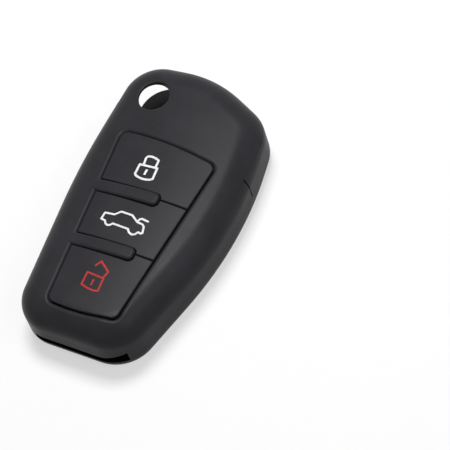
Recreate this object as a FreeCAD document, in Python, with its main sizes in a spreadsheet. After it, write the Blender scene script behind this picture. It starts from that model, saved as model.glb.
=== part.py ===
import FreeCAD, Part
import math
import os

import Sketcher

# Soft silicone cover for a folding car key: a hollow sleeve that opens at its narrow end, with three
# push buttons on the front, coloured symbols moulded into them and a hole for a key ring.
# Millimetres. The cover lies on its back: X to the right and Y towards the key ring, seen from the
# front, Z up through the front face. The origin is the middle of the back face.

doc = FreeCAD.newDocument("key_fob_cover")

# Driving dimensions
SIZES = {
    # outside form
    "length": 73.1,
    "width": 40.7,
    "thickness": 16,
    "crown_radius": 90,
    "front_edge_radius": 6.4,
    "back_edge_radius": 3.5,
    "mouth_corner_radius": 8.4,
    "ring_corner_radius": 9.6,
    "blade_corner_radius": 9.5,
    "bridge_corner_radius": 9.9,
    # walls
    "wall": 1.7,
    "back_wall": 1.8,
    "front_wall": 2.8,
    "ceiling_radius": 5,
    "overrun": 1,
    # line where the front and the back part, and the openings along it
    "low_parting": 5.5,
    "step_parting": 12,
    "end_parting": 10,
    "step_below_ring": 12.6,
    "slit_gap": 0.35,
    "side_slit_gap": 0.05,
    "bridge": 4.7,
    "slit_past_ring": 1.4,
    "mouth_left_margin": 4.8,
    "mouth_right_margin": 1,
    "mouth_height": 1.9,
    "mouth_flare": 1.3,
    "mouth_flare_run": 5,
    # key ring hole and the gap beside it
    "ring_from_side": 9.7,
    "ring_from_top": 10.2,
    "ring_radius": 3.85,
    "ring_rim_radius": 0.45,
    "ring_lip": 1.8,
    "ring_relief_depth": 2.2,
    "ring_relief_flare": 1.6,
    "ring_gap_floor": 1.1,
    "ring_gap_turn": 3.7,
    "ring_gap_end_floor": 2.6,
    "ring_gap_top": 12.2,
    "ring_gap_below_ring": 2.4,
    "funnel_mouth_radius": 6,
    "funnel_throat_radius": 4,
    "funnel_flat": 3.9,
    # panel on the back
    "back_border": 5.4,
    "back_panel_below_ring": 5,
    "back_panel_taper": 2.6,
    "back_groove": 0.5,
    "back_groove_depth": 0.45,
    "back_panel_radius": 2.5,
    # button panel on the front
    "panel_from_side": 7.85,
    "panel_from_mouth": 4.35,
    "panel_from_ring_end": 22.15,
    "panel_corner_radius": 2,
    "panel_rim_radius": 0.8,
    "groove": 0.14,
    "thin_groove": 0.18,
    "thin_groove_rise": 0.45,
    # ridges between the buttons
    "ridge_width": 3.2,
    "ridge_overlap": 1.7,
    "ridge_tail_rise": 0.06,
    "ridge_root": 0.7,
    "ridge_crown_shift": 3.75,
    "ridge_end_radius": 1.2,
    "ridge_rim_radius": 0.65,
    # buttons and the thin webs that carry them
    "plate": 1.5,
    "travel": 0.45,
    "stop_clearance": 0.05,
    "plate_rim_radius": 0.3,
    "web_span": 1.2,
    "web_drop": 0.8,
    "web": 0.4,
    # symbols
    "unlock_below_groove": 9.85,
    "lock_size": 5,
    "car_size": 11,
    "lock_stroke": 0.54,
    "car_stroke": 0.48,
    "unlock_stroke": 0.44,
    "symbol_depth": 0.3,
    "symbol_rise": 0.04,
}

# Points of the outlines, as shares of the half width and half length that they follow
OUTLINE_SHARES = (
    (-0.858, -1.007), (-1.056, 0.13), (-0.99, 0.978), (0.038, 1.0),
    (0.83, 0.803), (1.065, 0.06), (0.569, -1.008),
)
PANEL_SHARES = (
    (-0.744, -0.983), (-1.072, 1.021), (-0.08, 1.015), (0.968, 0.94), (0.656, -0.95), (-0.08, -1.01),
)
WINDOW_SHARES = {
    "lock": ((-0.816, 0.485), (-0.868, 0.922), (0.84, 0.837), (0.796, 0.519)),
    "trunk": ((-0.744, -0.155), (-0.796, 0.227), (0.752, 0.262), (0.68, -0.122)),
    "unlock": ((-0.628, -0.91), (-0.7, -0.412), (0.628, -0.382), (0.532, -0.906)),
}
RIDGE_END_SHARES = {"upper_ridge": (0.308, 0.367), "lower_ridge": (0.388, -0.266)}
SYMBOL_PLACE_SHARES = {"lock": (-0.212, 0.627), "trunk": (-0.112, 0.043)}
UNLOCK_SIDE_SHARE = -0.092

# How far a ridge falls for its length, and how much of the straight length between two corners a bow takes
RIDGE_SLOPE_SHARE = 0.01
LEFT_BOW_SHARE = 0.5
TOP_BOW_SHARE = 0.6
RIGHT_BOW_SHARE = 0.88
PANEL_BOW_SHARE = 0.75

# Points of the symbols, as shares of the symbol's size: closed outlines and open lines; a keyhole is
# an upright bar, given by the place of its middle and of its two ends
LOCK_BODY_SHARES = (
    (-0.43, 0.30), (0.46, 0.35), (0.51, -0.24), (0.40, -0.32), (0.23, -0.37), (0.0, -0.385), (-0.20, -0.355),
    (-0.35, -0.30), (-0.42, -0.23),
)
LOCK_SHACKLE_SHARES = (
    (-0.25, 0.31), (-0.30, 0.72), (-0.24, 0.81), (-0.05, 0.84), (0.16, 0.82), (0.335, 0.75), (0.36, 0.35),
)
LOCK_KEYHOLE_SHARES = (0.03, -0.16, 0.14)
UNLOCK_BODY_SHARES = (
    (-0.43, 0.40), (0.43, 0.335), (0.475, -0.33), (0.26, -0.38), (-0.06, -0.35), (-0.41, -0.25),
)
UNLOCK_SHACKLE_SHARES = ((0.39, 0.34), (0.486, 0.71), (-0.05, 1.10), (-0.23, 0.83))
UNLOCK_KEYHOLE_SHARES = (0.03, -0.17, 0.15)
CAR_BODY_SHARES = (
    (-0.485, 0.075), (-0.265, 0.095), (-0.155, 0.20), (0.11, 0.195), (0.278, 0.085), (0.41, 0.068),
    (0.46, 0.03), (0.50, -0.115), (0.47, -0.14), (0.405, -0.13), (0.365, -0.195), (0.30, -0.225),
    (0.225, -0.195), (0.165, -0.13), (-0.20, -0.116), (-0.24, -0.165), (-0.29, -0.185), (-0.345, -0.165),
    (-0.40, -0.098), (-0.496, -0.08),
)
CAR_LID_SHARES = ((0.278, 0.105), (0.305, 0.165), (0.345, 0.187), (0.488, 0.17))

sheet = doc.addObject("Spreadsheet::Sheet", "Dims")
for row, (alias, value) in enumerate(SIZES.items(), start=1):
    sheet.set(f"A{row}", alias)
    sheet.set(f"B{row}", str(value))
    sheet.setAlias(f"B{row}", alias)
doc.recompute()

UP = FreeCAD.Vector(0, 0, 1)
UPRIGHT = 0.02
LOOKS_UP = 0.3
ALONG_X = FreeCAD.Vector(1, 0, 0)
ALONG_Y = FreeCAD.Vector(0, 1, 0)
FLAT = (FreeCAD.Rotation(), "z")
FACING_X = (FreeCAD.Rotation(FreeCAD.Vector(1, 1, 1), 120), "x")
FACING_Y = (FreeCAD.Rotation(ALONG_X, 90), "y")

LEDGE_TOP = "Dims.thickness - Dims.plate - Dims.travel - Dims.stop_clearance"
RIDGE_FOOT = f"{LEDGE_TOP} - Dims.ridge_root"
CEILING = "Dims.thickness - Dims.front_wall"
ABOVE_ALL = "Dims.thickness + 2 * Dims.overrun"
HALF_WIDTH = "Dims.width / 2"
HALF_LENGTH = "Dims.length / 2"
HALF_PANEL = (
    f"({HALF_WIDTH} - Dims.panel_from_side)",
    f"({HALF_LENGTH} - Dims.panel_from_mouth / 2 - Dims.panel_from_ring_end / 2)",
)
PANEL_Y = "((Dims.panel_from_mouth - Dims.panel_from_ring_end) / 2)"


def size(alias):
    return float(sheet.get(alias))


# Sketches and solids


def outline(name, points, facing=FLAT, level="0", closed=True):
    """A line through points given as pairs of expressions, at a level along the axis that it faces."""
    rotation, axis = facing
    sketch = doc.addObject("Sketcher::SketchObject", name)
    sketch.Placement = FreeCAD.Placement(FreeCAD.Vector(), rotation)
    sketch.setExpression(f"Placement.Base.{axis}", level)
    count = len(points)
    turns = [2 * math.pi * index / count for index in range(count)]
    ring = [FreeCAD.Vector(math.cos(turn), math.sin(turn), 0) for turn in turns]
    last = count if closed else count - 1
    for index in range(last):
        sketch.addGeometry(Part.LineSegment(ring[index], ring[(index + 1) % count]))
    for index in range(last):
        following = (index + 1) % last
        if closed or following:
            sketch.addConstraint(Sketcher.Constraint("Coincident", index, 2, following, 1))
    for index, (along, across) in enumerate(points):
        line, end = (index, 1) if index < last else (index - 1, 2)
        for kind, value in (("DistanceX", along), ("DistanceY", across)):
            place = sketch.addConstraint(Sketcher.Constraint(kind, -1, 1, line, end, 1))
            sketch.setExpression(f"Constraints[{place}]", value)
    return sketch


def shares_of(shares, half_width, half_length, x="0", y="0"):
    """Points given as shares of two half sizes, about a middle."""
    return [(f"({x} + {half_width} * {u})", f"({y} + {half_length} * {v})") for u, v in shares]


def panel_shares(shares):
    return shares_of(shares, *HALF_PANEL, y=PANEL_Y)


def inset(name, base, distance):
    ring = doc.addObject("Part::Offset2D", name)
    ring.Source = base
    ring.Join = "Intersection"
    ring.setExpression("Value", f"-({distance})")
    return ring


def prism(name, base, length, direction=UP):
    solid = doc.addObject("Part::Extrusion", name)
    solid.Base = base
    solid.DirMode = "Custom"
    solid.Dir = direction
    solid.Solid = True
    solid.setExpression("LengthFwd", length)
    return solid


def block(name, low, high):
    solid = doc.addObject("Part::Box", name)
    for axis, side, start, end in zip("xyz", ("Length", "Width", "Height"), low, high):
        solid.setExpression(f"Placement.Base.{axis}", start)
        solid.setExpression(side, f"({end}) - ({start})")
    return solid


def crown(name, rise, shift="0"):
    """All that lies under the crowned front face, raised by some height and shifted sideways."""
    roll = doc.addObject("Part::Cylinder", name)
    roll.Placement = FreeCAD.Placement(FreeCAD.Vector(), FreeCAD.Rotation(ALONG_X, -90))
    roll.setExpression("Radius", f"Dims.crown_radius + {rise}")
    roll.setExpression("Height", "2 * Dims.length")
    roll.setExpression("Placement.Base.x", shift)
    roll.setExpression("Placement.Base.y", "-Dims.length")
    roll.setExpression("Placement.Base.z", "Dims.thickness - Dims.crown_radius")
    return roll


def cut(name, base, *tools):
    for tool in tools:
        result = doc.addObject("Part::Cut", name)
        result.Base = base
        result.Tool = tool
        base = result
    return base


def common(name, base, tool):
    result = doc.addObject("Part::Common", name)
    result.Base = base
    result.Tool = tool
    return result


def fuse(name, *solids):
    result = doc.addObject("Part::MultiFuse", name)
    result.Shapes = list(solids)
    return result


# Rounding


def edge_numbers(shape, chosen):
    return [n for n, edge in enumerate(shape.Edges, start=1) if any(edge.isSame(other) for other in chosen)]


def rounded(name, solid, groups):
    """Rounds groups of edges, each with its own radius."""
    fillet = doc.addObject("Part::Fillet", name)
    fillet.Base = solid
    shape = solid.Shape
    fillet.Edges = [(n, radius, radius) for chosen, radius in groups for n in edge_numbers(shape, chosen)]
    return fillet


def outline_radii(sketch, kinds):
    """The radius at each point of an outline. A corner has the named size. A bow stands between two corners
    and takes up a share of the straight length that they leave."""
    doc.recompute()
    points = [line.StartPoint for line in sketch.Geometry]
    count = len(points)

    def slope(index):
        before = points[index] - points[index - 1]
        after = points[(index + 1) % count] - points[index]
        return math.tan(before.getAngle(after) / 2)

    def free_length(index, corner):
        return (points[index] - points[corner]).Length - size(kinds[corner]) * slope(corner)

    radii = []
    for index, kind in enumerate(kinds):
        if isinstance(kind, str):
            radii.append(size(kind))
        else:
            free = min(free_length(index, index - 1), free_length(index, (index + 1) % count))
            radii.append(kind * free / slope(index))
    return radii


def round_corners(name, solid, sketch, radii):
    """Rounds the upright edges that stand nearest to the points of a sketch."""
    doc.recompute()
    upright = [edge for edge in solid.Shape.Edges
               if edge.BoundBox.XLength + edge.BoundBox.YLength < edge.Length / 2]
    groups = []
    for line, radius in zip(sketch.Geometry, radii):
        corner = line.StartPoint
        if radius:
            groups.append(([min(upright, key=lambda edge: math.hypot(
                edge.CenterOfMass.x - corner.x, edge.CenterOfMass.y - corner.y))], radius))
    return rounded(name, solid, groups)


def faces_at(shape, height):
    """Flat faces that lie level at a height."""
    near = size("slit_gap") / 2
    return [face for face in shape.Faces if isinstance(face.Surface, Part.Plane)
            and face.BoundBox.ZLength < near and abs(face.CenterOfMass.z - height) < near]


def crowned_faces(shape, roll):
    """Faces on a crown."""
    return [face for face in shape.Faces if isinstance(face.Surface, Part.Cylinder)
            and math.isclose(face.Surface.Radius, roll.Radius.Value, rel_tol=1e-6)]


def rim(faces):
    return [edge for face in faces for edge in face.OuterWire.Edges]


def upper_rims(shape, level):
    """Edges above a level where an upright face meets a face that looks up."""
    chosen = []
    for edge in shape.Edges:
        middle = edge.valueAt((edge.FirstParameter + edge.LastParameter) / 2)
        if middle.z > level:
            faces = shape.ancestorsOfType(edge, Part.Face)
            lean = sorted(face.normalAt(*face.Surface.parameter(middle)).z for face in faces)
            if len(lean) == 2 and abs(lean[0]) < UPRIGHT and lean[1] > LOOKS_UP:
                chosen.append(edge)
    return chosen


# Outside form and the hollow inside it
plan_points = shares_of(OUTLINE_SHARES, HALF_WIDTH, HALF_LENGTH)
mouth_corner, left_bow, ring_corner, top_bow, blade_corner, right_bow, bridge_corner = plan_points
plan = outline("plan", plan_points)
plan_radii = outline_radii(plan, (
    "mouth_corner_radius", LEFT_BOW_SHARE, "ring_corner_radius", TOP_BOW_SHARE,
    "blade_corner_radius", RIGHT_BOW_SHARE, "bridge_corner_radius"))
front_crown = crown("front_crown", "0")
upright_form = round_corners("upright_form", prism("plan_prism", plan, "Dims.thickness"), plan, plan_radii)
crowned_form = common("crowned_form", upright_form, front_crown)
doc.recompute()
outside = rounded("outside", crowned_form, (
    (rim(crowned_faces(crowned_form.Shape, front_crown)), size("front_edge_radius")),
    (rim(faces_at(crowned_form.Shape, 0)), size("back_edge_radius")),
))

hollow_plan = outline("hollow_plan", plan_points, level="Dims.back_wall")
hollow_inset = inset("hollow_inset", hollow_plan, "Dims.wall")
hollow_prism = prism("hollow_prism", hollow_inset, f"{CEILING} - Dims.back_wall")
hollow_radii = [radius - size("wall") for radius in plan_radii]
upright_hollow = round_corners("upright_hollow", hollow_prism, plan, hollow_radii)
doc.recompute()
ceiling_height = size("thickness") - size("front_wall")
hollow = rounded("hollow", upright_hollow, (
    (rim(faces_at(upright_hollow.Shape, ceiling_height)), size("ceiling_radius")),
    (rim(faces_at(upright_hollow.Shape, size("back_wall"))), size("back_edge_radius") - size("back_wall")),
))
shell = cut("shell", outside, hollow)

# Places that follow the key ring's corner
ring_x = f"({ring_corner[0]} + Dims.ring_from_side)"
ring_y = f"({ring_corner[1]} - Dims.ring_from_top)"
parting_step = f"({ring_y} - Dims.step_below_ring)"
slit_end = f"({ring_x} + Dims.slit_past_ring)"

# Parting line: low along the blade side, a step up, then falling a little to the key ring end; the slit
# along it opens towards the key ring end
under_parting = prism("under_parting", outline("parting_profile", (
    ("-Dims.length", "-Dims.overrun"), ("Dims.length", "-Dims.overrun"),
    ("Dims.length", "Dims.end_parting"), (HALF_LENGTH, "Dims.end_parting"),
    (parting_step, "Dims.step_parting"), (parting_step, "Dims.low_parting"),
    ("-Dims.length", "Dims.low_parting"),
), FACING_X, "-Dims.width"), "2 * Dims.width", ALONG_X)
slit_turn = f"{parting_step} + Dims.slit_gap"
slit_band = prism("slit_band", outline("slit_profile", (
    ("-Dims.length", "Dims.low_parting"), (parting_step, "Dims.low_parting"),
    (parting_step, "Dims.step_parting"), (HALF_LENGTH, "Dims.end_parting"),
    ("Dims.length", "Dims.end_parting"), ("Dims.length", "Dims.end_parting - Dims.slit_gap"),
    (HALF_LENGTH, "Dims.end_parting - Dims.slit_gap"), (slit_turn, "Dims.step_parting - Dims.side_slit_gap"),
    (slit_turn, "Dims.low_parting - Dims.side_slit_gap"),
    ("-Dims.length", "Dims.low_parting - Dims.side_slit_gap"),
), FACING_X, "-Dims.width"), "2 * Dims.width", ALONG_X)
slit_start = f"Dims.bridge - {HALF_LENGTH}"
slit_reach = prism("slit_reach", outline("slit_plan", (
    ("0", slit_start), ("Dims.width", slit_start), ("Dims.width", "Dims.length"),
    (slit_end, "Dims.length"), (slit_end, ring_y), ("0", ring_y),
)), "Dims.thickness")
slit = common("slit", slit_band, slit_reach)
mouth_floor = "Dims.low_parting - Dims.mouth_height"
mouth_left = f"{mouth_corner[0]} + Dims.mouth_left_margin"
mouth_right = f"{bridge_corner[0]} - Dims.mouth_right_margin"
mouth_depth = f"Dims.bridge_corner_radius - {HALF_LENGTH}"
mouth = prism("mouth", outline("mouth_profile", (
    (mouth_left, mouth_floor), (mouth_right, mouth_floor),
    (mouth_right, "Dims.low_parting + Dims.mouth_flare"),
    (f"{mouth_right} - Dims.mouth_flare_run", "Dims.low_parting"),
    (mouth_left, "Dims.low_parting"),
), FACING_Y, mouth_depth), "Dims.bridge_corner_radius + Dims.overrun", -ALONG_Y)

# Key ring hole: round through the front and wider under its lip, and a funnel with one straight side
# through the back
lip_bottom = "Dims.thickness - Dims.ring_lip"
ring_hole = doc.addObject("Part::Cylinder", "ring_hole")
ring_hole.setExpression("Radius", "Dims.ring_radius")
ring_hole.setExpression("Height", "Dims.ring_lip + Dims.overrun")
ring_relief = doc.addObject("Part::Cone", "ring_relief")
ring_relief.setExpression("Radius1", "Dims.ring_radius + Dims.ring_relief_flare")
ring_relief.setExpression("Radius2", "Dims.ring_radius")
ring_relief.setExpression("Height", "Dims.ring_relief_depth")
funnel_cone = doc.addObject("Part::Cone", "funnel_cone")
funnel_cone.setExpression("Radius1", "Dims.funnel_mouth_radius")
funnel_cone.setExpression("Radius2", "Dims.funnel_throat_radius")
funnel_cone.setExpression("Height", "Dims.back_wall + Dims.overrun")
for solid, level in (
    (ring_hole, lip_bottom),
    (ring_relief, f"{lip_bottom} - Dims.ring_relief_depth"),
    (funnel_cone, "-Dims.overrun / 2"),
):
    solid.setExpression("Placement.Base.x", ring_x)
    solid.setExpression("Placement.Base.y", ring_y)
    solid.setExpression("Placement.Base.z", level)
funnel = common("funnel", funnel_cone, block(
    "funnel_side",
    ("-Dims.width", f"{ring_y} - Dims.funnel_flat", "-Dims.overrun"),
    ("Dims.width", "Dims.length", "Dims.thickness")))
# The gap beside the ring opens to the outside; its floor rises towards the end
gap_start = f"({ring_y} - Dims.ring_gap_below_ring)"
ring_gap = prism("ring_gap", outline("ring_gap_profile", (
    (gap_start, "Dims.ring_gap_floor"), (f"{ring_y} + Dims.ring_gap_turn", "Dims.ring_gap_floor"),
    (HALF_LENGTH, "Dims.ring_gap_end_floor"), ("Dims.length", "Dims.ring_gap_end_floor"),
    ("Dims.length", "Dims.ring_gap_top"), (gap_start, "Dims.ring_gap_top"),
), FACING_X, "-Dims.width"), f"{slit_end} + Dims.width", ALONG_X)

# Back half, with the outline of its panel
back_panel_left = f"{left_bow[0]} + Dims.back_border"
back_panel_top = f"{ring_y} - Dims.back_panel_below_ring"
back_panel_foot = f"{back_panel_left} + Dims.back_panel_taper"
back_panel_end = f"-{HALF_LENGTH} - Dims.overrun"
back_line = outline("back_line", (
    (HALF_WIDTH, back_panel_top), (back_panel_left, back_panel_top), (back_panel_foot, back_panel_end),
    (f"{back_panel_foot} + Dims.back_groove", back_panel_end),
    (f"{back_panel_left} + Dims.back_groove", f"{back_panel_top} - Dims.back_groove"),
    (HALF_WIDTH, f"{back_panel_top} - Dims.back_groove"),
), level="-Dims.overrun")
back_groove = round_corners(
    "back_groove", prism("back_groove_prism", back_line, "Dims.back_groove_depth + Dims.overrun"), back_line,
    [0, size("back_panel_radius") + size("back_groove"), 0, 0, size("back_panel_radius"), 0])
back_half = common("back_half", shell, under_parting)
back_shell = cut("back_shell", back_half, slit, mouth, ring_gap, funnel, back_groove)

# Button panel: an opening down to a ledge, with a window under each button
panel_points = panel_shares(PANEL_SHARES)
panel_line = outline("panel_line", panel_points, level=LEDGE_TOP)
panel_radii = outline_radii(panel_line, (
    "panel_corner_radius", "panel_corner_radius", PANEL_BOW_SHARE,
    "panel_corner_radius", "panel_corner_radius", PANEL_BOW_SHARE))
panel_prism = prism("panel_prism", panel_line, f"{ABOVE_ALL} - ({LEDGE_TOP})")
panel_opening = round_corners("panel_opening", panel_prism, panel_line, panel_radii)


def panel_left_edge(y):
    (foot_x, foot_y), (head_x, head_y) = panel_points[:2]
    return f"({foot_x} + ({head_x} - {foot_x}) * ({y} - {foot_y}) / ({head_y} - {foot_y}))"


def ridge_tail(y):
    return f"({panel_left_edge(y)} - Dims.ridge_overlap)"


def ridge_points(end, y, margin):
    """The four corners of a ridge that runs from its end into the left border, grown by a margin."""
    tip = f"{end} + {margin}"
    tail = ridge_tail(y)
    upper = f"{y} + Dims.ridge_width / 2 + {margin}"
    lower = f"{y} - Dims.ridge_width / 2 - {margin}"
    fall = f"{RIDGE_SLOPE_SHARE} * ({end} - {tail})"
    return ((tip, upper), (tail, f"{upper} - {fall}"), (tail, f"{lower} - {fall}"), (tip, lower))


# The crown of a ridge is shifted, so that the ridge rises slowly out of the left border
ridges = []
dividers = []
ridge_levels = []
for name, shares in RIDGE_END_SHARES.items():
    place, = panel_shares((shares,))
    thin_groove_y = f"({place[1]} + Dims.thin_groove_rise)"
    ridge_levels.append(thin_groove_y)
    ridge_line = outline(f"{name}_line", ridge_points(*place, "0"), level=RIDGE_FOOT)
    end_radius = size("ridge_end_radius")
    bar = round_corners(
        f"{name}_bar", prism(f"{name}_prism", ridge_line, f"{ABOVE_ALL} - ({RIDGE_FOOT})"), ridge_line,
        [end_radius] * 4)
    tail_from_middle = f"(Dims.ridge_crown_shift / 2 - {ridge_tail(place[1])})"
    ridge_crown = crown(
        f"{name}_crown",
        f"Dims.ridge_tail_rise + {tail_from_middle} * Dims.ridge_crown_shift / Dims.crown_radius",
        "Dims.ridge_crown_shift")
    crowned_bar = common(f"{name}_crowned", bar, ridge_crown)
    doc.recompute()
    tops = crowned_faces(crowned_bar.Shape, ridge_crown)
    ridges.append(rounded(name, crowned_bar, ((rim(tops), size("ridge_rim_radius")),)))
    room_line = outline(f"{name}_room_line", ridge_points(*place, "Dims.groove"))
    room_radius = end_radius + size("groove")
    dividers.append(round_corners(
        f"{name}_room", prism(f"{name}_room_prism", room_line, ABOVE_ALL), room_line, [room_radius] * 4))
    dividers.append(block(
        f"{name}_thin_groove",
        (place[0], f"{thin_groove_y} - Dims.thin_groove / 2", "0"),
        ("Dims.width", f"{thin_groove_y} + Dims.thin_groove / 2", ABOVE_ALL)))

# Each button reaches from one ridge to the next
upper_level, lower_level = ridge_levels
button_zones = {
    "lock": (upper_level, "Dims.length"),
    "trunk": (lower_level, upper_level),
    "unlock": ("-Dims.length", lower_level),
}
windows = {
    name: prism(
        f"{name}_window",
        outline(f"{name}_window_line", panel_shares(shares), level=f"{CEILING} - Dims.overrun"),
        f"{LEDGE_TOP} - ({CEILING}) + 2 * Dims.overrun")
    for name, shares in WINDOW_SHARES.items()
}

# Front half
front_half = cut("front_half", shell, under_parting, mouth, ring_gap, ring_relief, ring_hole, panel_opening,
                 *windows.values())
doc.recompute()
front_rims = upper_rims(front_half.Shape, size("thickness") - size("plate"))
near_ring = ring_hole.Placement.Base.y - 2 * size("ring_radius")
soft_front = rounded("soft_front", front_half, (
    ([edge for edge in front_rims if edge.CenterOfMass.y > near_ring], size("ring_rim_radius")),
    ([edge for edge in front_rims if edge.CenterOfMass.y < near_ring], size("panel_rim_radius"))))
front_shell = fuse("front_shell", soft_front, *ridges)

# Symbols: strokes along closed outlines and open lines


def stroke_ring(name, points, stroke):
    line = outline(f"{name}_line", points)
    sides = []
    for side, sign in (("outer", "+"), ("inner", "-")):
        offset = doc.addObject("Part::Offset2D", f"{name}_{side}_line")
        offset.Source = line
        offset.Join = "Arc"
        offset.setExpression("Value", f"{sign} {stroke} / 2")
        sides.append(prism(f"{name}_{side}", offset, ABOVE_ALL))
    return cut(name, *sides)


def stroke_line(name, points, stroke):
    line = outline(f"{name}_line", points, closed=False)
    band = doc.addObject("Part::Offset2D", f"{name}_band")
    band.Source = line
    band.Mode = "Pipe"
    band.Join = "Arc"
    band.setExpression("Value", f"{stroke} / 2")
    return prism(name, band, ABOVE_ALL)


def keyhole(name, shares, scale, x, y, stroke):
    middle, low, high = (f"{scale} * {share}" for share in shares)
    return block(
        name,
        (f"{x} + {middle} - {stroke} / 2", f"{y} + {low}", "0"),
        (f"{x} + {middle} + {stroke} / 2", f"{y} + {high}", ABOVE_ALL))


SYMBOLS = {
    "lock": (
        "Dims.lock_size", "Dims.lock_stroke",
        LOCK_BODY_SHARES, LOCK_SHACKLE_SHARES, LOCK_KEYHOLE_SHARES),
    "trunk": (
        "Dims.car_size", "Dims.car_stroke",
        CAR_BODY_SHARES, CAR_LID_SHARES, None),
    "unlock": (
        "Dims.lock_size", "Dims.unlock_stroke",
        UNLOCK_BODY_SHARES, UNLOCK_SHACKLE_SHARES, UNLOCK_KEYHOLE_SHARES),
}
symbol_places = {name: panel_shares((shares,))[0] for name, shares in SYMBOL_PLACE_SHARES.items()}
# The unlock symbol keeps its distance from the ridge above it
symbol_places["unlock"] = (
    f"({HALF_PANEL[0]} * {UNLOCK_SIDE_SHARE})", f"({lower_level} - Dims.unlock_below_groove)")
symbol_floor = crown("symbol_floor", "-Dims.symbol_depth")
symbol_top = crown("symbol_top", "Dims.symbol_rise")

# Buttons: a crowned plate over a plunger, held by a sloping web in its window
plate_bottom = "Dims.thickness - Dims.plate"
web_top = LEDGE_TOP
plunger_bottom = f"{LEDGE_TOP} - Dims.web - Dims.web_drop"
parts = {"front_shell": front_shell, "back_shell": back_shell}
for name, (low, high) in button_zones.items():
    scale, stroke, body_shares, line_shares, keyhole_shares = SYMBOLS[name]
    place = symbol_places[name]
    strokes = [
        stroke_ring(f"{name}_symbol_body", shares_of(body_shares, scale, scale, *place), stroke),
        stroke_line(f"{name}_symbol_line", shares_of(line_shares, scale, scale, *place), stroke),
    ]
    if keyhole_shares:
        strokes.append(keyhole(f"{name}_keyhole", keyhole_shares, scale, *place, stroke))
    recess = cut(f"{name}_recess", fuse(f"{name}_strokes", *strokes), symbol_floor)
    parts[f"{name}_symbol"] = common(f"{name}_symbol", recess, symbol_top)

    plate_line = outline(f"{name}_plate_line", panel_points, level=plate_bottom)
    plate_prism = prism(f"{name}_plate_prism", inset(f"{name}_plate_inset", plate_line, "Dims.groove"),
                        f"{ABOVE_ALL} - ({plate_bottom})")
    plate_block = round_corners(
        f"{name}_plate_block", plate_prism, panel_line, [radius - size("groove") for radius in panel_radii])
    zone = block(f"{name}_zone", ("-Dims.width", low, "0"), ("Dims.width", high, ABOVE_ALL))
    plate_zone = common(f"{name}_plate_zone", plate_block, zone)
    plate = common(f"{name}_plate", cut(f"{name}_plate_cut", plate_zone, *dividers), outside)
    doc.recompute()
    plate_rims = upper_rims(plate.Shape, size("thickness") - size("plate"))
    soft_plate = rounded(f"{name}_soft_plate", plate, ((plate_rims, size("plate_rim_radius")),))

    def frame_line(suffix, level, distance=None):
        line = outline(f"{name}_{suffix}", panel_shares(WINDOW_SHARES[name]), level=level)
        return inset(f"{name}_{suffix}_inset", line, distance) if distance else line

    plunger = prism(f"{name}_plunger", frame_line("plunger_line", plunger_bottom, "Dims.web_span"),
                    f"{plate_bottom} - ({plunger_bottom})")
    parts[f"{name}_button"] = cut(f"{name}_button", fuse(f"{name}_pad", soft_plate, plunger), recess)

    slopes = []
    for side, drop in (("over", "0"), ("under", "Dims.web")):
        slope = doc.addObject("Part::Loft", f"{name}_web_{side}")
        slope.Sections = [
            frame_line(f"web_{side}_outer", f"{web_top} - {drop}"),
            frame_line(f"web_{side}_inner", f"{web_top} - {drop} - Dims.web_drop", "Dims.web_span"),
        ]
        slope.Solid = True
        slope.Ruled = True
        slopes.append(slope)
    edge = prism(f"{name}_web_edge", frame_line("web_edge_line", f"{web_top} - Dims.web"), "Dims.web")
    parts[f"{name}_web"] = cut(f"{name}_web", fuse(f"{name}_web_block", edge, slopes[1]), slopes[0], plunger)

# Check every object, then write each sub-part
doc.recompute()
for item in doc.Objects:
    if "Invalid" in item.State or "Error" in item.State:
        raise RuntimeError(f"{item.Name} failed: {item.State}")
for label, item in parts.items():
    if item.Shape.isNull() or not item.Shape.isValid():
        raise RuntimeError(f"{label} has no valid shape")
os.makedirs("parts", exist_ok=True)
for label, item in parts.items():
    item.Label = label
    item.Shape.exportStep(f"parts/{label}.step")
    print(label, len(item.Shape.Solids), "solids", round(item.Shape.Volume, 2), "mm3")
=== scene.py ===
import bmesh
import bpy
from bpy.props import FloatProperty, FloatVectorProperty, PointerProperty
from mathutils import Matrix, Vector


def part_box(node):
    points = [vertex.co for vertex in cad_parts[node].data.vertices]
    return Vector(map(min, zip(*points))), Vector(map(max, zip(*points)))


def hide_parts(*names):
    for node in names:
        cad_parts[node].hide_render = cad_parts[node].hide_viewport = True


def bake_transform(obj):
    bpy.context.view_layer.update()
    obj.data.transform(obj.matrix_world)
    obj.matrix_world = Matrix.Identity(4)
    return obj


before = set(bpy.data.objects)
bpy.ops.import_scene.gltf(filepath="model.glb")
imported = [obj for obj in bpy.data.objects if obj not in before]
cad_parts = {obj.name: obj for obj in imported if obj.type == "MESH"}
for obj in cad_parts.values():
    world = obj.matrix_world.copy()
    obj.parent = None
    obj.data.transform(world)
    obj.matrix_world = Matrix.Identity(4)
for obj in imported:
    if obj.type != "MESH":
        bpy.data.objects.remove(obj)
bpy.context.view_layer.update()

bl_info = {
    "name": "Silicone key cover",
    "version": (1, 0, 0),
    "blender": (4, 5, 0),
    "location": "View3D > Sidebar > Key Cover",
    "description": "Dresses a moulded silicone key cover with its finishes and sets it on a pale table",
    "category": "Object",
}

SHELL_NODES = ("front_shell", "back_shell")
BUTTONS = ("lock", "trunk", "unlock")
WHITE_SYMBOLS = ("lock_symbol", "trunk_symbol")
RED_SYMBOLS = ("unlock_symbol",)

# Detail of the black skin, in metres
CLOUD_SIZE = 0.009
SPECK_SIZE = 0.0011
SWELL_SIZE = 0.006
SWELL_TO_GRAIN_DEPTH = 3
# Heights between which the painted shade on what faces up deep inside the cover fades out to the skin
PAINTED_SHADE_LOW, PAINTED_SHADE_HIGH = 0.004, 0.006
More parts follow.
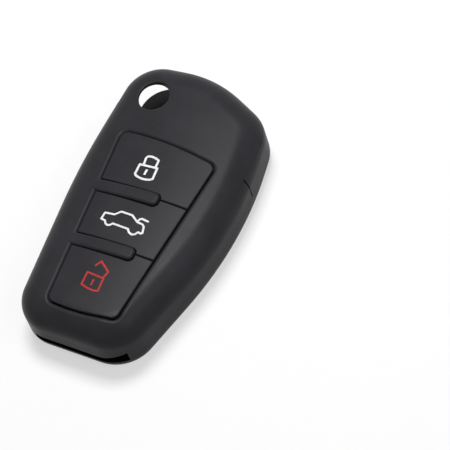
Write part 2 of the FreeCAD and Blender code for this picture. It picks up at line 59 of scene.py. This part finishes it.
# What the clouds, specks and grain add to the bloom and to the roughness, which starts lower by the shift
CLOUD_BLOOM, SPECK_BLOOM = 0.45, 0.25
CLOUD_ROUGHNESS, SPECK_ROUGHNESS, GRAIN_ROUGHNESS = 0.06, 0.05, 0.06
ROUGHNESS_SHIFT = 0.07
SILICONE_IOR = 1.43

# Detail of the coloured fills and of the table, in metres, and how dark their dark spots are
MOTTLE_SIZE = 0.0012
MOTTLE_ROUGHNESS = 0.1
FILL_GRAIN_SIZE = 0.0002
FILL_GRAIN_DEPTH = 0.00001
FILL_SHADE_SHARE = 0.82
PAPER_GRAIN_SIZE = 0.004
PAPER_SHADE_SHARE = 0.985

# Cuts across a web, as shares of its height
WEB_CUT_SHARES = (0.35, 0.42, 0.5, 0.58, 0.65)
MERGE_DISTANCE = 1e-7
CUT_TOLERANCE = 1e-8

# Table, lamps and camera, in metres, with the sensor in millimetres
FLOOR_HALF_SIZE = 6
FLOOR_DROP = 0.0001
OVERHEAD_PLACE, OVERHEAD_SIZE = (-0.03, 0.12, 0.48), (0.18, 0.15)
FILL_PLACE, FILL_SIZE = (0.45, -0.05, 0.5), (0.4, 0.3)
CAMERA_PLACE = (0.2421, -0.2379, 0.5122)
CAMERA_RIGHT = (0.8842, 0.427, -0.1896)
CAMERA_BACK = (0.3727, -0.3998, 0.8374)
CAMERA_CLIP = 0.01
SENSOR_WIDTH = 36
WHITE = (1, 1, 1, 1)


# Sizes and colours that a user would change


class SiliconeSettings(bpy.types.PropertyGroup):
    """Finish of the black moulding"""

    colour: FloatVectorProperty(
        name="Colour", description="Body colour of the moulding", subtype="COLOR", size=3, min=0, max=1,
        default=(0.0196, 0.0189, 0.0221))
    bloom: FloatVectorProperty(
        name="Bloom", description="Colour of the faint powdery bloom on the skin", subtype="COLOR", size=3,
        min=0, max=1, default=(0.0292, 0.0282, 0.0327))
    # Painted shade: this colour is laid on what faces up deep inside the cover, standing in for the shadow
    # there.
    inside: FloatVectorProperty(
        name="Inside", description="Colour of the skin deep inside the cover", subtype="COLOR", size=3,
        min=0, max=1, default=(0.003, 0.003, 0.0033))
    roughness: FloatProperty(
        name="Roughness", description="Roughness of the skin, before its own variation", min=0, max=1,
        default=0.4, subtype="FACTOR")
    grain: FloatProperty(
        name="Grain", description="Width of the fine moulded grain", default=0.00022, unit="LENGTH",
        precision=5)
    grain_depth: FloatProperty(
        name="Grain depth", description="Depth of the fine moulded grain", default=0.000012, unit="LENGTH",
        precision=6)


class SymbolSettings(bpy.types.PropertyGroup):
    """Finish of the coloured fills"""

    white: FloatVectorProperty(
        name="White", description="Colour of the white fills", subtype="COLOR", size=3, min=0, max=1,
        default=(0.8, 0.81, 0.82))
    red: FloatVectorProperty(
        name="Red", description="Colour of the red fill", subtype="COLOR", size=3, min=0, max=1,
        default=(0.45, 0.034, 0.032))
    roughness: FloatProperty(
        name="Roughness", description="Roughness of the fills", min=0, max=1, default=0.55, subtype="FACTOR")


class StageSettings(bpy.types.PropertyGroup):
    """Table, light and camera"""

    floor: FloatVectorProperty(
        name="Floor", description="Colour of the table", subtype="COLOR", size=3, min=0, max=1,
        default=(0.88, 0.88, 0.88))
    lightbox: FloatProperty(
        name="Lightbox", description="Share of even white in the table as the camera sees it", min=0, max=1,
        default=0.58, subtype="FACTOR")
    sky: FloatProperty(
        name="Sky", description="Strength of the even light from all round", min=0, default=0.1)
    overhead: FloatProperty(
        name="Overhead lamp", description="Power of the soft lamp over the table", default=2.45,
        unit="POWER")
    fill: FloatProperty(
        name="Fill lamp", description="Power of the weak lamp at the blade side", default=0.85,
        unit="POWER")
    lens: FloatProperty(
        name="Lens", description="Focal length of the camera", default=211.2, unit="CAMERA")


# Shader maths


class Socket:
    """An output socket of a node tree, with arithmetic that adds Math nodes."""

    def __init__(self, tree, output):
        self.tree = tree
        self.output = output

    def math(self, operation, *values):
        return node(self.tree, "ShaderNodeMath", {"operation": operation}, dict(enumerate(values)))

    def __add__(self, other):
        return self.math("ADD", self, other)

    __radd__ = __add__

    def __sub__(self, other):
        return self.math("SUBTRACT", self, other)

    def __rsub__(self, other):
        return self.math("SUBTRACT", other, self)

    def __mul__(self, other):
        return self.math("MULTIPLY", self, other)

    __rmul__ = __mul__


def node(tree, kind, settings=None, inputs=None, output=0):
    """Adds a node, sets it up, feeds its sockets with values or links, and returns one output."""
    made = tree.nodes.new(kind)
    for key, value in (settings or {}).items():
        setattr(made, key, value)
    for key, value in (inputs or {}).items():
        if isinstance(value, Socket):
            tree.links.new(value.output, made.inputs[key])
        else:
            made.inputs[key].default_value = value
    return Socket(tree, made.outputs[output]) if made.outputs else None


def new_material(name):
    material = bpy.data.materials.new(name)
    material.use_nodes = True
    material.node_tree.nodes.clear()
    return material, material.node_tree


def finish_surface(tree, inputs):
    shader = node(tree, "ShaderNodeBsdfPrincipled", {}, inputs)
    node(tree, "ShaderNodeOutputMaterial", {}, {"Surface": shader})


def noise(tree, place, size, detail=2, roughness=0.5):
    """Noise with features of a given size, as a value."""
    return node(tree, "ShaderNodeTexNoise", {"noise_dimensions": "3D"}, {
        "Vector": place, "Scale": 1 / size, "Detail": detail, "Roughness": roughness})


def mix_colour(tree, factor, first, second):
    """Goes from one colour to another. The colour sockets share their names, so numbers pick them."""
    first, second = (
        colour if isinstance(colour, Socket) else (*colour, 1) for colour in (first, second))
    return node(
        tree, "ShaderNodeMix", {"data_type": "RGBA"}, {"Factor": factor, 6: first, 7: second}, output=2)


def mix_shader(tree, factor, first, second):
    return node(tree, "ShaderNodeMixShader", {}, {0: factor, 1: first, 2: second})


def stretched(tree, value, low, high):
    """Spreads the part of a value between two bounds over 0 to 1."""
    return node(tree, "ShaderNodeMapRange", {"interpolation_type": "SMOOTHSTEP"}, {
        "Value": value, "From Min": low, "From Max": high})


def upward(tree, vector):
    """The upward part of a vector, as a value."""
    return node(tree, "ShaderNodeSeparateXYZ", {}, {"Vector": vector}, output="Z")


def object_place(tree):
    return node(tree, "ShaderNodeTexCoord", output="Object")


def seen_rays(tree):
    """One for the rays of the camera, of reflections and of clear pieces, and zero for the rest."""
    camera, glossy, transmission = (
        node(tree, "ShaderNodeLightPath", output=f"Is {kind} Ray")
        for kind in ("Camera", "Glossy", "Transmission"))
    return camera.math("MAXIMUM", camera + glossy, transmission)


# Finishes


def painted_inside_shade(tree, place):
    """Mask of painted shade: one on what faces up below these heights, deep inside the cover, where a deeper
    black is painted in place of the shadow there, and zero elsewhere.
    """
    normal = node(tree, "ShaderNodeNewGeometry", output="Normal")
    facing_up = stretched(tree, upward(tree, normal), low=0.2, high=0.5)
    return facing_up * (1 - stretched(tree, upward(tree, place), PAINTED_SHADE_LOW, PAINTED_SHADE_HIGH))


def black_silicone(settings):
    """Black skin with a fine grain, a slight swell, clouds and specks of bloom, and painted shade on what
    faces up deep inside.
    """
    material, tree = new_material("black_silicone")
    place = object_place(tree)
    clouds = stretched(tree, noise(tree, place, CLOUD_SIZE, detail=3), low=0.35, high=0.7)
    specks = stretched(tree, noise(tree, place, SPECK_SIZE, detail=3, roughness=0.6), low=0.5, high=0.8)
    grain = noise(tree, place, settings.grain, roughness=0.6)
    swell = noise(tree, place, SWELL_SIZE, detail=1)
    bloom = clouds * CLOUD_BLOOM + specks * SPECK_BLOOM
    skin = mix_colour(tree, bloom, settings.colour, settings.bloom)
    # Painted shade: what faces up deep inside the cover is painted this deeper black in place of its shadow.
    colour = mix_colour(tree, painted_inside_shade(tree, place), skin, settings.inside)
    variation = clouds * CLOUD_ROUGHNESS + specks * SPECK_ROUGHNESS + grain * GRAIN_ROUGHNESS
    fine = node(tree, "ShaderNodeBump", {}, {
        "Strength": 0.55, "Distance": settings.grain_depth, "Height": grain})
    broad = node(tree, "ShaderNodeBump", {}, {
        "Strength": 0.25, "Distance": settings.grain_depth * SWELL_TO_GRAIN_DEPTH, "Height": swell,
        "Normal": fine})
    finish_surface(tree, {
        "Base Color": colour, "Roughness": variation + (settings.roughness - ROUGHNESS_SHIFT),
        "Normal": broad, "IOR": SILICONE_IOR, "Specular IOR Level": 0.1})
    return material


def coloured_fill(name, colour, roughness):
    """Coloured silicone with a slight mottle and grain."""
    material, tree = new_material(name)
    place = object_place(tree)
    mottle = stretched(tree, noise(tree, place, MOTTLE_SIZE, detail=3), low=0.3, high=0.75)
    grain = noise(tree, place, FILL_GRAIN_SIZE)
    shade = [channel * FILL_SHADE_SHARE for channel in colour]
    bump = node(tree, "ShaderNodeBump", {}, {
        "Strength": 0.4, "Distance": FILL_GRAIN_DEPTH, "Height": grain})
    finish_surface(tree, {
        "Base Color": mix_colour(tree, mottle, shade, colour),
        "Roughness": mottle * MOTTLE_ROUGHNESS + (roughness - MOTTLE_ROUGHNESS / 2),
        "Normal": bump, "IOR": SILICONE_IOR, "Specular IOR Level": 0.15})
    return material


def table_finish(colour, lightbox):
    """A white table with an even glow where the camera and reflections see it, clear from underneath."""
    material, tree = new_material("pale_table")
    place = object_place(tree)
    paper = stretched(tree, noise(tree, place, PAPER_GRAIN_SIZE, detail=3), low=0.2, high=0.8)
    shade = [channel * PAPER_SHADE_SHARE for channel in colour]
    top = node(tree, "ShaderNodeBsdfPrincipled", {}, {
        "Base Color": mix_colour(tree, paper, shade, colour), "Roughness": 0.8,
        "Specular IOR Level": 0.1})
    glow = node(tree, "ShaderNodeEmission", {}, {"Color": WHITE, "Strength": 1})
    from_above = mix_shader(tree, seen_rays(tree) * lightbox, top, glow)
    underneath = node(tree, "ShaderNodeNewGeometry", output="Backfacing")
    table = mix_shader(tree, underneath, from_above, node(tree, "ShaderNodeBsdfTransparent"))
    node(tree, "ShaderNodeOutputMaterial", {}, {"Surface": table})
    return material


def dress(names, material):
    """Gives nodes of the model a finish in place of their plain one."""
    for name in names:
        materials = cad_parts[name].data.materials
        materials.clear()
        materials.append(material)


def silicone(context):
    """The black skin, made on first use."""
    return bpy.data.materials.get("black_silicone") or black_silicone(context.scene.key_cover_silicone)


# Operators


class KEYCOVER_OT_shells(bpy.types.Operator):
    """Give the front and the back of the moulding their matte skin"""

    bl_idname = "keycover.shells"
    bl_label = "Shells"

    def execute(self, context):
        dress(SHELL_NODES, silicone(context))
        return {"FINISHED"}


class KEYCOVER_OT_buttons(bpy.types.Operator):
    """Give the push buttons the skin of the moulding"""

    bl_idname = "keycover.buttons"
    bl_label = "Buttons"

    def execute(self, context):
        dress([f"{name}_button" for name in BUTTONS], silicone(context))
        return {"FINISHED"}


class KEYCOVER_OT_webs(bpy.types.Operator):
    """Make the thin webs that bend when a button is pressed"""

    bl_idname = "keycover.webs"
    bl_label = "Button webs"

    def execute(self, context):
        for name in BUTTONS:
            bend_web(context, name)
        return {"FINISHED"}


def bend_web(context, name):
    """A copy of a button's web, cut into bands across its height between the cover and the button."""
    node_name = f"{name}_web"
    low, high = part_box(node_name)
    rise = high.z - low.z
    shape = bmesh.new()
    shape.from_mesh(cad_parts[node_name].data)
    bmesh.ops.remove_doubles(shape, verts=shape.verts, dist=MERGE_DISTANCE)
    for share in WEB_CUT_SHARES:
        bmesh.ops.bisect_plane(
            shape, geom=shape.verts[:] + shape.edges[:] + shape.faces[:], dist=CUT_TOLERANCE,
            plane_co=(0, 0, low.z + share * rise), plane_no=(0, 0, 1))
    bmesh.ops.triangulate(shape, faces=shape.faces)
    mesh = bpy.data.meshes.new(f"{name}_skin")
    shape.to_mesh(mesh)
    shape.free()
    mesh.materials.append(silicone(context))
    web = bpy.data.objects.new(f"{name}_skin", mesh)
    context.collection.objects.link(web)
    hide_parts(node_name)
    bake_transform(web)


class KEYCOVER_OT_symbols(bpy.types.Operator):
    """Colour the fills of the symbols"""

    bl_idname = "keycover.symbols"
    bl_label = "Symbols"

    def execute(self, context):
        settings = context.scene.key_cover_symbols
        dress(WHITE_SYMBOLS, coloured_fill("white_fill", settings.white, settings.roughness))
        dress(RED_SYMBOLS, coloured_fill("red_fill", settings.red, settings.roughness))
        return {"FINISHED"}


class KEYCOVER_OT_stage(bpy.types.Operator):
    """Set the table, the lamps and the camera"""

    bl_idname = "keycover.stage"
    bl_label = "Stage"

    def execute(self, context):
        settings = context.scene.key_cover_stage
        context.scene.view_settings.view_transform = "Standard"
        make_floor(context, settings)
        make_sky(context, settings)
        area_lamp(context, "overhead_lamp", OVERHEAD_PLACE, OVERHEAD_SIZE, settings.overhead)
        area_lamp(context, "fill_lamp", FILL_PLACE, FILL_SIZE, settings.fill)
        make_camera(context, settings)
        return {"FINISHED"}


def make_floor(context, settings):
    """The table, a hair below the cover so that their faces don't coincide."""
    shape = bmesh.new()
    bmesh.ops.create_grid(
        shape, x_segments=1, y_segments=1, size=FLOOR_HALF_SIZE,
        matrix=Matrix.Translation((0, 0, -FLOOR_DROP)))
    mesh = bpy.data.meshes.new("table")
    shape.to_mesh(mesh)
    shape.free()
    mesh.materials.append(table_finish(settings.floor, settings.lightbox))
    floor = bpy.data.objects.new("table", mesh)
    context.collection.objects.link(floor)


def make_sky(context, settings):
    """Even light from all round, with a white backdrop where the camera looks past the table."""
    world = bpy.data.worlds.new("studio")
    context.scene.world = world
    world.use_nodes = True
    tree = world.node_tree
    tree.nodes.clear()
    light = node(tree, "ShaderNodeBackground", {}, {"Color": WHITE, "Strength": settings.sky})
    backdrop = node(tree, "ShaderNodeBackground", {}, {"Color": WHITE, "Strength": 1})
    node(tree, "ShaderNodeOutputWorld", {}, {"Surface": mix_shader(tree, seen_rays(tree), light, backdrop)})


def area_lamp(context, name, place, size, power):
    """A soft lamp that looks at the middle of the table and isn't seen itself."""
    lamp = bpy.data.lights.new(name, "AREA")
    lamp.shape = "RECTANGLE"
    lamp.size, lamp.size_y = size
    lamp.energy = power
    holder = bpy.data.objects.new(name, lamp)
    context.collection.objects.link(holder)
    holder.location = place
    holder.rotation_euler = Vector(place).to_track_quat("Z", "Y").to_euler()
    holder.visible_camera = False


def make_camera(context, settings):
    """The camera, turned by the directions of its right and its back."""
    camera = bpy.data.cameras.new("camera")
    camera.lens = settings.lens
    camera.sensor_width = SENSOR_WIDTH
    camera.clip_start = CAMERA_CLIP
    holder = bpy.data.objects.new("camera", camera)
    context.collection.objects.link(holder)
    back = Vector(CAMERA_BACK).normalized()
    up = back.cross(Vector(CAMERA_RIGHT)).normalized()
    turn = Matrix((up.cross(back), up, back)).transposed().to_4x4()
    holder.matrix_world = Matrix.Translation(CAMERA_PLACE) @ turn
    context.scene.camera = holder


class KEYCOVER_PT_sidebar(bpy.types.Panel):
    """Lists the pieces of the key cover and their settings"""

    bl_label = "Key Cover"
    bl_idname = "KEYCOVER_PT_sidebar"
    bl_space_type = "VIEW_3D"
    bl_region_type = "UI"
    bl_category = "Key Cover"

    def draw(self, context):
        for operator in OPERATORS:
            self.layout.operator(operator.bl_idname)
        for group_name, group in SETTINGS.items():
            box = self.layout.box()
            for name in group.__annotations__:
                box.prop(getattr(context.scene, group_name), name)


SETTINGS = {
    "key_cover_silicone": SiliconeSettings,
    "key_cover_symbols": SymbolSettings,
    "key_cover_stage": StageSettings,
}
OPERATORS = (
    KEYCOVER_OT_shells, KEYCOVER_OT_buttons, KEYCOVER_OT_webs, KEYCOVER_OT_symbols, KEYCOVER_OT_stage,
)
CLASSES = (*SETTINGS.values(), *OPERATORS, KEYCOVER_PT_sidebar)


def register():
    for cls in CLASSES:
        bpy.utils.register_class(cls)
    for name, group in SETTINGS.items():
        setattr(bpy.types.Scene, name, PointerProperty(type=group))


def unregister():
    for name in SETTINGS:
        delattr(bpy.types.Scene, name)
    for cls in reversed(CLASSES):
        bpy.utils.unregister_class(cls)


def main():
    register()
    bpy.ops.keycover.shells()
    bpy.ops.keycover.buttons()
    bpy.ops.keycover.webs()
    bpy.ops.keycover.symbols()
    bpy.ops.keycover.stage()


if __name__ == "__main__":
    main()
